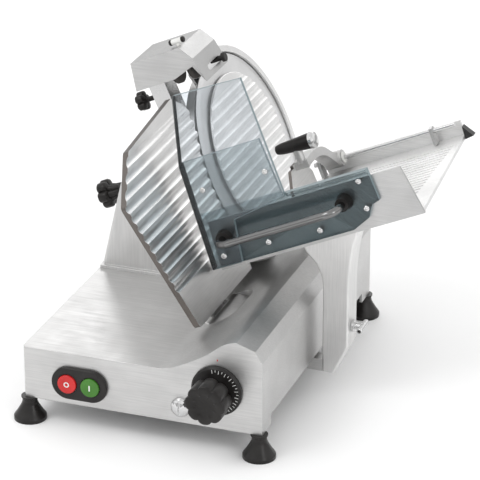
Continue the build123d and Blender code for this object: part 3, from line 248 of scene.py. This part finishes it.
def clips_and_cap(name, split_out):
    """Satin clips on the blade's side of split_out, and a black moulded cap beyond it."""
    material, add = new_material(name)
    fine = stretched_noise(add, EVEN, **CLIP_GRAIN)
    place = add("ShaderNodeTexCoord").outputs["Object"]
    beyond = maths(add, "GREATER_THAN", along_direction(add, place, OUT), split_out)
    speckle = ramp(add, fine, 0, 1)
    clip = colour_mix(add, speckle, CLIP_DARK, CLIP_PALE)
    cap = colour_mix(add, speckle, CAP_DARK, CAP_PALE)
    inputs = {
        "Base Color": colour_mix(add, beyond, clip, cap),
        "Metallic": maths(add, "SUBTRACT", 1.0, beyond),
        "Roughness": ramp(add, fine, *CLIP_ROUGH),
        "Normal": soft_edges(add, fine, CLIP_BUMP, CLIP_EDGE),
    }
    surface(add, add("ShaderNodeBsdfPrincipled", inputs).outputs["BSDF"])
    return material


SHORTEST_EDGE = 5 * MM
SHOULDER_LEAN = 4


def left_edge_lines(node_name):
    """Lines up the left side of a hand guard: each a point and the direction square to it, into the sheet.

    They join the side's foot, its shoulder and its top, and a line that has almost no length is left out.
    """
    spots = [(vertex.co.dot(OUT), vertex.co.dot(UP)) for vertex in NODES[node_name].data.vertices]
    foot = min(spots, key=lambda spot: spot[0] + spot[1])
    shoulder = min(spots, key=lambda spot: SHOULDER_LEAN * spot[0] - spot[1])
    top = min(spots, key=lambda spot: spot[0] - spot[1])
    lines = []
    for low, high in ((foot, shoulder), (shoulder, top)):
        rise = Vector((high[0] - low[0], high[1] - low[1]))
        if rise.length > SHORTEST_EDGE:
            inward = OUT * rise.y - UP * rise.x
            lines.append((OUT * low[0] + UP * low[1], inward.normalized()))
    return lines


SMOKE, MOST_SMOKE = (0.30, 0.33, 0.34, 1), 0.08
ACRYLIC_BODY, BODY_SHARE = (0.42, 0.46, 0.48, 1), 0.06
ACRYLIC_INDEX, MOST_SHEEN = 1.45, 0.22
RIM_PALE, RIM_DARK = (0.20, 0.26, 0.28, 1), (0.010, 0.014, 0.016, 1)
SHEET_ROUGH, RIM_ROUGH = (0.03, 0.08), (0.25, 0.4)
SHEET_FACING = 0.9


def acrylic(name, tint, upper_tint, split_up, node_name, band_width):
    """Smoked clear sheet: tinted, paler above split_up, with a dark band up its left side."""
    material, add = new_material(name)
    cloud = stretched_noise(add, EVEN, **ACRYLIC_CLOUD)
    coords = add("ShaderNodeTexCoord")
    place, normal = coords.outputs["Object"], coords.outputs["Normal"]
    facing = maths(add, "ABSOLUTE", along_direction(add, normal, BACK))
    cut_side = maths(add, "LESS_THAN", facing, SHEET_FACING)
    band = 0.0
    for spot, inward in left_edge_lines(node_name):
        near = maths(add, "LESS_THAN", along_direction(add, place, inward), spot.dot(inward) + band_width)
        band = maths(add, "MAXIMUM", band, near)
    above = maths(add, "GREATER_THAN", along_direction(add, place, UP), split_up)
    plain = colour_mix(add, above, opaque(tint), opaque(upper_tint))
    cloudy = colour_mix(add, ramp(add, cloud, 0, MOST_SMOKE), plain, SMOKE)
    clear = add("ShaderNodeBsdfTransparent", {"Color": cloudy}).outputs[0]
    body = add("ShaderNodeBsdfDiffuse", {"Color": ACRYLIC_BODY}).outputs[0]
    tinted = shader_mix(add, BODY_SHARE, clear, body)
    gloss = add("ShaderNodeBsdfGlossy", {"Roughness": ramp(add, cloud, *SHEET_ROUGH)}).outputs[0]
    glance = add("ShaderNodeFresnel", {"IOR": ACRYLIC_INDEX}).outputs[0]
    sheet = shader_mix(add, maths(add, "MINIMUM", glance, MOST_SHEEN), tinted, gloss)
    rim_inputs = {
        "Base Color": colour_mix(add, band, RIM_PALE, RIM_DARK),
        "Roughness": ramp(add, cloud, *RIM_ROUGH),
    }
    rim = add("ShaderNodeBsdfPrincipled", rim_inputs).outputs[0]
    surface(add, shader_mix(add, maths(add, "MAXIMUM", cut_side, band), sheet, rim))
    return material


BLADE_CENTRE = Vector(JOINTS["blade_spin"]["pos_m"])
GUARD_SPLIT = BLADE_CENTRE.dot(UP) - 5 * MM
ROD_FAR_OUT = max(vertex.co.dot(OUT) for vertex in NODES["pusher_rod"].data.vertices) - 5 * MM

# Metals: name, tone, roughness, grain direction, scale and strength, edge radius, warmth, sheet side.
# Moulded: name, colour, roughness, pebble scale and strength, clear coat.
looks = {
    "cast_aluminium": metal("satin_aluminium", 0.66, 0.40, ALONG_X, 700.0, 0.02, 1.2 * MM, 0.015),
    "column_aluminium": metal("column_aluminium", 0.64, 0.36, ALONG_Z, 650.0, 0.05, 1.6 * MM, 0.015),
    "gauge_aluminium": metal("gauge_aluminium", 0.92, 0.34, ALONG_Y, 900.0, 0.04, 0.8 * MM, 0.015, OUT),
    "bright_aluminium": metal("bright_aluminium", 0.90, 0.50, EVEN, 700.0, 0.05, 1.0 * MM, 0.01),
    "tray_aluminium": metal("tray_aluminium", 0.62, 0.40, ALONG_X, 800.0, 0.04, 0.5 * MM, 0.01),
    "floor_aluminium": metal("floor_aluminium", 0.92, 0.52, ALONG_X, 800.0, 0.04, 0.5 * MM, 0.01),
    "hood_steel": metal("hood_steel", 0.58, 0.38, ALONG_X, 700.0, 0.03, 0.5 * MM, 0.01),
    "arm_aluminium": metal("arm_aluminium", 0.82, 0.40, ALONG_Z, 650.0, 0.04, 1.6 * MM, 0.015),
    "rod_clips": clips_and_cap("rod_clips", ROD_FAR_OUT),
    "handle_chrome": metal("handle_chrome", 0.24, 0.12, EVEN, 400.0, 0.01, 0.5 * MM),
    "blade_steel": metal("ground_steel", 0.90, 0.36, EVEN, 1200.0, 0.04, 0.3 * MM),
    "steel": metal("machined_steel", 0.62, 0.28, EVEN, 800.0, 0.06, 0.4 * MM),
    "chrome": metal("chrome", 0.72, 0.08, EVEN, 400.0, 0.01, 0.5 * MM),
    "cover_sheet": metal("sheet_steel", 0.40, 0.42, ALONG_Y, 500.0, 0.08, 0.3 * MM),
    "black_plastic": moulded("black_plastic", (0.0055, 0.0042, 0.0036), 0.34, 300.0, 0.08, 0.05),
    "dial_black": moulded("dial_black", (0.006, 0.005, 0.0045), 0.42, 420.0, 0.08),
    "rubber": moulded("moulded_rubber", (0.0055, 0.0042, 0.0036), 0.30, 220.0, 0.08, 0.05),
    "grey_nylon": moulded("pale_nylon", (0.62, 0.62, 0.60), 0.45),
    "red_plastic": moulded("red_plastic", (0.50, 0.012, 0.012), 0.24, 200.0, 0.05, 0.3),
    "green_plastic": moulded("green_plastic", (0.035, 0.15, 0.010), 0.24, 200.0, 0.05, 0.3),
    "white_paint": moulded("white_paint", (0.80, 0.80, 0.78), 0.40),
    "motor_paint": moulded("motor_paint", (0.10, 0.11, 0.13), 0.45, 180.0, 0.20),
    "belt_rubber": moulded("belt_rubber", (0.03, 0.03, 0.03), 0.65, 500.0, 0.30),
    "stone": moulded("abrasive_stone", (0.055, 0.050, 0.046), 0.85, 900.0, 0.60),
    "front_acrylic": acrylic("smoked_acrylic_front", (0.56, 0.63, 0.65), (0.84, 0.88, 0.89), GUARD_SPLIT,
                             "front_hand_guard", 3 * MM),
    "tall_acrylic": acrylic("smoked_acrylic_tall", (0.91, 0.93, 0.95), (0.93, 0.95, 0.97), GUARD_SPLIT,
                            "blade_hand_guard", 4 * MM),
}
LOOK_OF_SLOT = {"ribbed_aluminium": "gauge_aluminium", "smoked_acrylic": "front_acrylic"}
LOOK_OF_NODE = {
    "blade_column": "column_aluminium",
    "blade_hand_guard": "tall_acrylic",
    "carriage_arm": "arm_aluminium",
    "rod_brackets": "rod_clips",
    "blade_ring_guard": "bright_aluminium",
    "blade_cover": "bright_aluminium",
    "tray_floor": "floor_aluminium",
    "sharpener_hood": "hood_steel",
    "carriage_handle": "handle_chrome",
}

for entry in frame["record"]["subparts"]:
    node_name, slot_name = entry["node"], entry["material_slot"]
    look = LOOK_OF_NODE.get(node_name, LOOK_OF_SLOT.get(slot_name, slot_name))
    for material_slot in NODES[node_name].material_slots:
        material_slot.material = looks[look]

# ------------------------------------------------------------ mesh helpers


def mesh_piece(name, points, faces, look, body, smooth_angle=35):
    """A new object from points and faces, shaded smooth below an angle, riding on a body."""
    mesh = bpy.data.meshes.new(name)
    mesh.from_pydata([tuple(point) for point in points], [], faces)
    mesh.update()
    piece = bpy.data.objects.new(name, mesh)
    bpy.context.scene.collection.objects.link(piece)
    mesh.materials.append(looks[look])
    mesh.shade_smooth()
    mesh.set_sharp_from_angle(angle=math.radians(smooth_angle))
    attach(piece, body)
    return piece


def axis_span(node_name, origin, axis):
    """Lowest and highest reach of a CAD node along an axis, and its largest radius about it."""
    heights, radii = [], []
    for vertex in NODES[node_name].data.vertices:
        offset = vertex.co - origin
        height = offset.dot(axis)
        heights.append(height)
        radii.append((offset - axis * height).length)
    return min(heights), max(heights), max(radii)


def side_axes(axis):
    """Two directions square to an axis that runs front to back or is square to that."""
    first = UPRIGHT
    if abs(axis.dot(BACK)) < 0.5:
        first = BACK
    return first, axis.cross(first).normalized()


SMALLEST_REACH = 0.1 * MM


def ring_stack(origin, axis, rings, steps):
    """Points and faces of a closed body made of rings: each ring is (height, scale, inset, outline)."""
    first, second = side_axes(axis)
    points, faces = [], []
    for height, scale, inset, outline in rings:
        for k in range(steps):
            turn = 2 * math.pi * k / steps
            reach = max(outline(turn) * scale - inset, SMALLEST_REACH)
            spot = origin + axis * height
            spot += first * (reach * math.cos(turn))
            spot += second * (reach * math.sin(turn))
            points.append(spot)
    for level in range(len(rings) - 1):
        for k in range(steps):
            a, b = level * steps + k, level * steps + (k + 1) % steps
            faces.append((a, b, b + steps, a + steps))
    faces.append(tuple(reversed(range(steps))))
    faces.append(tuple(range((len(rings) - 1) * steps, len(rings) * steps)))
    return points, faces


VALLEY_POWER = 1.6


def lobes(radius, count, depth):
    """Outline of a hand knob: rounded lobes with narrow valleys between them."""
    return lambda turn: radius - depth * (1 - abs(math.cos(count * turn / 2))) ** VALLEY_POWER


def round_outline(radius):
    """A round outline."""
    return lambda turn: radius


def hexagon(radius):
    """Outline of a six-sided socket."""
    return lambda turn: radius * math.cos(math.pi / 6) / math.cos((turn % (math.pi / 3)) - math.pi / 6)


# ------------------------------------------------------------ knobs

KNOB_STEPS = 96
HUB_SHARE = 0.62


def lobed_knob(name, node_name, joint_name, axis, lobe_count, depth, grip_share, body, stem=None):
    """A moulded lobed knob in place of the plain CAD one: hub or thin stem, lobed grip, dished cap."""
    origin = Vector(JOINTS[joint_name]["pos_m"])
    low, high, radius = axis_span(node_name, origin, axis)
    grip = high - (high - low) * grip_share
    curve = min(radius * 0.16, 3 * MM)
    if stem is None:
        neck = [
            (low, HUB_SHARE * 0.8, 0),
            (low + (grip - low) * 0.4, HUB_SHARE * 0.84, 0),
            (grip - 0.8 * MM, HUB_SHARE * 1.05, 0),
        ]
    else:
        neck = [
            (low, stem / radius, 0),
            (grip - 2.5 * MM, stem / radius, 0),
            (grip - 0.8 * MM, HUB_SHARE * 0.9, 0),
        ]
    grip_rings = [
        (grip, 1.0, curve * 1.1),
        (grip + curve * 0.35, 1.0, curve * 0.35),
        (grip + curve, 1.0, 0),
        (high - curve, 1.0, 0),
        (high - curve * 0.55, 1.0, curve * 0.12),
        (high - curve * 0.2, 1.0, curve * 0.45),
        (high, 1.0, curve * 1.1),
    ]
    dished_cap = [
        (high, 0.74, curve),
        (high - 0.9 * MM, 0.68, curve),
        (high - 1.1 * MM, 0.30, 0),
        (high - 0.5 * MM, 0.22, 0),
        (high - 0.4 * MM, 0.02, 0),
    ]
    outline = lobes(radius, lobe_count, depth)
    rings = [ring + (outline,) for ring in neck + grip_rings + dished_cap]
    points, faces = ring_stack(origin, axis, rings, KNOB_STEPS)
    piece = mesh_piece(name, points, faces, "black_plastic", body)
    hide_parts(node_name)


SHARPENER_STEM = 3.9 * MM
lobed_knob("dial_hand_knob", "dial_knob", "dial_turn", FRONT, 8, 3.6 * MM, 0.70, "dial")
lobed_knob("tie_rod_hand_knob", "tie_rod_knob", "tie_knob_turn", -OUT, 6, 5.5 * MM, 0.46, "tie_knob")
lobed_knob("sharpener_hand_knob", "sharpener_knob", "sharpener_clamp_turn", -OUT, 5, 4.5 * MM, 0.30,
           "sharpener_clamp", SHARPENER_STEM)

# ------------------------------------------------------------ dial marks, button marks

MARK_SINK = 0.05 * MM
MARK_HEIGHT = 0.3 * MM
BAR_SLOPE = 0.25
RING_SLOPE = 0.3 * MM
RING_STEPS = 64


def bar(name, centre, along, across, size, look, body):
    """A thin raised mark facing the operator, with sloping sides: size is length, width and height."""
    length, width, height = size
    points = []
    for level, shrink in ((0.0, 0.0), (height, BAR_SLOPE * min(length, width))):
        for sign_a, sign_b in ((-1, -1), (1, -1), (1, 1), (-1, 1)):
            reach_a, reach_b = length / 2 - shrink * 0.5, width / 2 - shrink * 0.5
            points.append(centre + along * sign_a * reach_a + across * sign_b * reach_b + FRONT * level)
    faces = [(0, 3, 2, 1), (4, 5, 6, 7), (0, 1, 5, 4), (1, 2, 6, 5), (2, 3, 7, 6), (3, 0, 4, 7)]
    mesh_piece(name, points, faces, look, body, 20)


def flat_ring(name, spot, outer, inner, look, body):
    """A raised flat ring facing the operator."""
    profile = [(outer, 0), (outer - RING_SLOPE, MARK_HEIGHT), (inner + RING_SLOPE, MARK_HEIGHT), (inner, 0)]
    points, faces = [], []
    for reach, level in profile:
        for k in range(RING_STEPS):
            turn = 2 * math.pi * k / RING_STEPS
            points.append(spot + Vector((reach * math.cos(turn), -level, reach * math.sin(turn))))
    for level in range(len(profile)):
        row = level * RING_STEPS
        next_row = (level + 1) % len(profile) * RING_STEPS
        for k in range(RING_STEPS):
            after = (k + 1) % RING_STEPS
            faces.append((row + k, row + after, next_row + after, next_row + k))
    mesh_piece(name, points, faces, look, body, 30)


DIAL = Vector(JOINTS["dial_turn"]["pos_m"])
dial_low, dial_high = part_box("dial_disc")
DIAL_R = (dial_high.x - dial_low.x) / 2
TICK_COUNT, FIRST_TICK, TICK_TURN = 24, 100, 9
LONG_TICK, SHORT_TICK = 5.5 * MM, 3.2 * MM
TICK_WIDTH, TICK_HEIGHT, TICK_MARGIN = 0.9 * MM, 0.25 * MM, 3.2 * MM
dial_face = Vector((DIAL.x, dial_low.y + MARK_SINK, DIAL.z))
for k in range(TICK_COUNT):
    turn = math.radians(FIRST_TICK - TICK_TURN * k)
    along = Vector((math.cos(turn), 0, math.sin(turn)))
    across = Vector((-math.sin(turn), 0, math.cos(turn)))
    length = LONG_TICK if k % 2 == 0 else SHORT_TICK
    bar(f"dial_tick_{k}", dial_face + along * (DIAL_R - TICK_MARGIN - length / 2), along, across,
        (length, TICK_WIDTH, TICK_HEIGHT), "white_paint", "dial")

base_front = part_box("base_housing")[0].y
INDEX_SPOT = Vector((DIAL.x, base_front + MARK_SINK, DIAL.z + DIAL_R + 8 * MM))
bar("dial_index", INDEX_SPOT, UPRIGHT, RIGHT, (3 * MM, 1.6 * MM, MARK_HEIGHT), "red_plastic", "base")


def button_face(node_name):
    """The middle of a button's front, and its radius."""
    low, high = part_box(node_name)
    return Vector(((low.x + high.x) / 2, low.y, (low.z + high.z) / 2)), (high.x - low.x) / 2


stop_spot, stop_r = button_face("stop_button")
flat_ring("stop_mark", stop_spot + BACK * MARK_SINK, stop_r * 0.30, stop_r * 0.17, "white_paint", "stop")
start_spot, start_r = button_face("start_button")
bar("start_mark", start_spot + BACK * MARK_SINK, UPRIGHT, RIGHT,
    (start_r * 0.62, start_r * 0.15, MARK_HEIGHT), "white_paint", "start")

# ------------------------------------------------------------ screws, lever ends

SCREW_GAP = 11 * MM
SCREW_STEPS = 48


def clusters(node_name, gap):
    """Vertices of a CAD node sorted into its separate solids, by distance."""
    groups = []
    for vertex in NODES[node_name].data.vertices:
        for group in groups:
            if (vertex.co - group[0]).length < gap:
                group.append(vertex.co.copy())
                break
        else:
            groups.append([vertex.co.copy()])
    return groups


def domed_screws(node_name, axis, look, body):
    """Domed heads with a six-sided socket in place of the plain CAD heads."""
    for number, group in enumerate(clusters(node_name, SCREW_GAP)):
        heights = [spot.dot(axis) for spot in group]
        middle = Vector()
        for spot in group:
            middle += spot / len(group)
        origin = middle - axis * (middle.dot(axis) - min(heights))
        height = max(heights) - min(heights)
        radius = max(((spot - origin) - axis * (spot - origin).dot(axis)).length for spot in group)
        head = round_outline(radius)
        socket = hexagon(radius * 0.48)
        rings = [
            (0, 1.0, 0, head),
            (height * 0.35, 1.0, 0, head),
            (height * 0.7, 0.9, 0, head),
            (height * 0.93, 0.72, 0, head),
            (height, 0.56, 0, head),
            (height, 1.0, 0, socket),
            (height * 0.45, 0.94, 0, socket),
            (height * 0.4, 0.1, 0, socket),
        ]
        points, faces = ring_stack(origin, axis, rings, SCREW_STEPS)
        piece = mesh_piece(f"{node_name}_{number}", points, faces, look, body)
        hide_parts(node_name)


domed_screws("guard_screws", FRONT, "chrome", "carriage")

LEVER = Vector(JOINTS["lever_turn"]["pos_m"])
LEVER_RISE = 7 * MM
LEVER_REACH = 8 * MM
TIP_RADIUS = 4.1 * MM
TIP_STEPS = 48
for side, side_name in ((-1, "left"), (1, "right")):
    tip = LEVER + UP * LEVER_RISE + OUT * side * LEVER_REACH
    outline = round_outline(TIP_RADIUS)
    rings = [
        (0, 1.0, 0, outline),
        (0.4 * MM, 1.06, 0, outline),
        (3 * MM, 1.08, 0, outline),
        (4 * MM, 0.9, 0, outline),
        (4.4 * MM, 0.6, 0, outline),
        (4.5 * MM, 0.1, 0, outline),
    ]
    points, faces = ring_stack(tip, OUT * side, rings, TIP_STEPS)
    mesh_piece(f"lever_tip_{side_name}", points, faces, "black_plastic", "lever")

# ------------------------------------------------------------ floor, light, camera

FLOOR_ROWS = (-4.0, 0.0, 8.0)
FLOOR_SIDES = (-5.0, 5.0)
PAPER_DARK, PAPER_PALE, PAPER_ROUGH = grey(0.95), grey(0.98), 0.9


def studio_floor():
    """Pale flat floor, much wider than the picture."""
    points = [(x, y, 0.0) for y in FLOOR_ROWS for x in FLOOR_SIDES]
    faces = [(2 * k, 2 * k + 1, 2 * k + 3, 2 * k + 2) for k in range(len(FLOOR_ROWS) - 1)]
    mesh = bpy.data.meshes.new("studio_floor")
    mesh.from_pydata(points, [], faces)
    mesh.shade_smooth()
    floor = bpy.data.objects.new("studio_floor", mesh)
    bpy.context.scene.collection.objects.link(floor)
    material, add = new_material("paper")
    cloud = stretched_noise(add, EVEN, **FLOOR_CLOUD)
    colour = colour_mix(add, ramp(add, cloud, 0, 1), PAPER_DARK, PAPER_PALE)
    shader = add("ShaderNodeBsdfPrincipled", {"Base Color": colour, "Roughness": PAPER_ROUGH})
    surface(add, shader.outputs["BSDF"])
    mesh.materials.append(material)


LIT_SPOT = Vector((0, 0, 0.2))

# Name, position, width and height in metres, and power in watts.
LIGHTS = (
    ("key_light", (-1.2, -1.3, 2.4), 1.2, 1.0, 14),
    ("fill_light", (2.2, -1.6, 1.4), 0.8, 1.2, 7),
    ("back_light", (-0.5, 2.8, 1.45), 2.4, 0.9, 10),
)


def area_light(name, position, width, height, power):
    """A rectangular light aimed at the slicer's middle."""
    light = bpy.data.lights.new(name, "AREA")
    light.shape = "RECTANGLE"
    light.size, light.size_y = width, height
    light.energy = power
    lamp = bpy.data.objects.new(name, light)
    bpy.context.scene.collection.objects.link(lamp)
    lamp.location = position
    lamp.rotation_euler = (LIT_SPOT - Vector(position)).to_track_quat("-Z", "Y").to_euler()


# Pairs of height, from the horizon to straight up, and brightness.
SKY_STEPS = ((0.0, 0.46), (0.12, 0.60), (0.32, 1.05), (0.60, 1.0), (1.0, 0.85))
SKY_STRENGTH = 1.1


def studio_sky():
    """A grey sky that is brightest a third of the way up."""
    world = bpy.data.worlds.new("studio")
    bpy.context.scene.world = world
    world.use_nodes = True
    tree = world.node_tree
    background = tree.nodes["Background"]
    direction = tree.nodes.new("ShaderNodeTexCoord")
    parts = tree.nodes.new("ShaderNodeSeparateXYZ")
    shade = tree.nodes.new("ShaderNodeValToRGB")
    tree.links.new(direction.outputs["Generated"], parts.inputs["Vector"])
    tree.links.new(parts.outputs["Z"], shade.inputs["Fac"])
    for _ in range(len(SKY_STEPS) - 2):
        shade.color_ramp.elements.new(0.5)
    for element, (height, brightness) in zip(shade.color_ramp.elements, SKY_STEPS):
        element.position = height
        element.color = grey(brightness)
    tree.links.new(shade.outputs["Color"], background.inputs["Color"])
    background.inputs["Strength"].default_value = SKY_STRENGTH


CAMERA_AZIMUTH, CAMERA_ELEVATION = 19.8, 23.9
CAMERA_SPOT = (1.1900, -3.3078, 1.7424)
SENSOR_MM, LENS_MM = 36.0, 201.3
FARTHEST_SEEN = 50.0


def studio_camera():
    """A long lens in front of the slicer, to its right and above it."""
    camera_data = bpy.data.cameras.new("camera")
    camera_data.sensor_width = SENSOR_MM
    camera_data.lens = LENS_MM
    camera_data.clip_end = FARTHEST_SEEN
    camera = bpy.data.objects.new("camera", camera_data)
    bpy.context.scene.collection.objects.link(camera)
    camera.location = CAMERA_SPOT
    camera.rotation_euler = (math.radians(90 - CAMERA_ELEVATION), 0, math.radians(CAMERA_AZIMUTH))
    bpy.context.scene.camera = camera


studio_floor()
for light_values in LIGHTS:
    area_light(*light_values)
studio_sky()
studio_camera()
bpy.context.scene.view_settings.view_transform = "Standard"
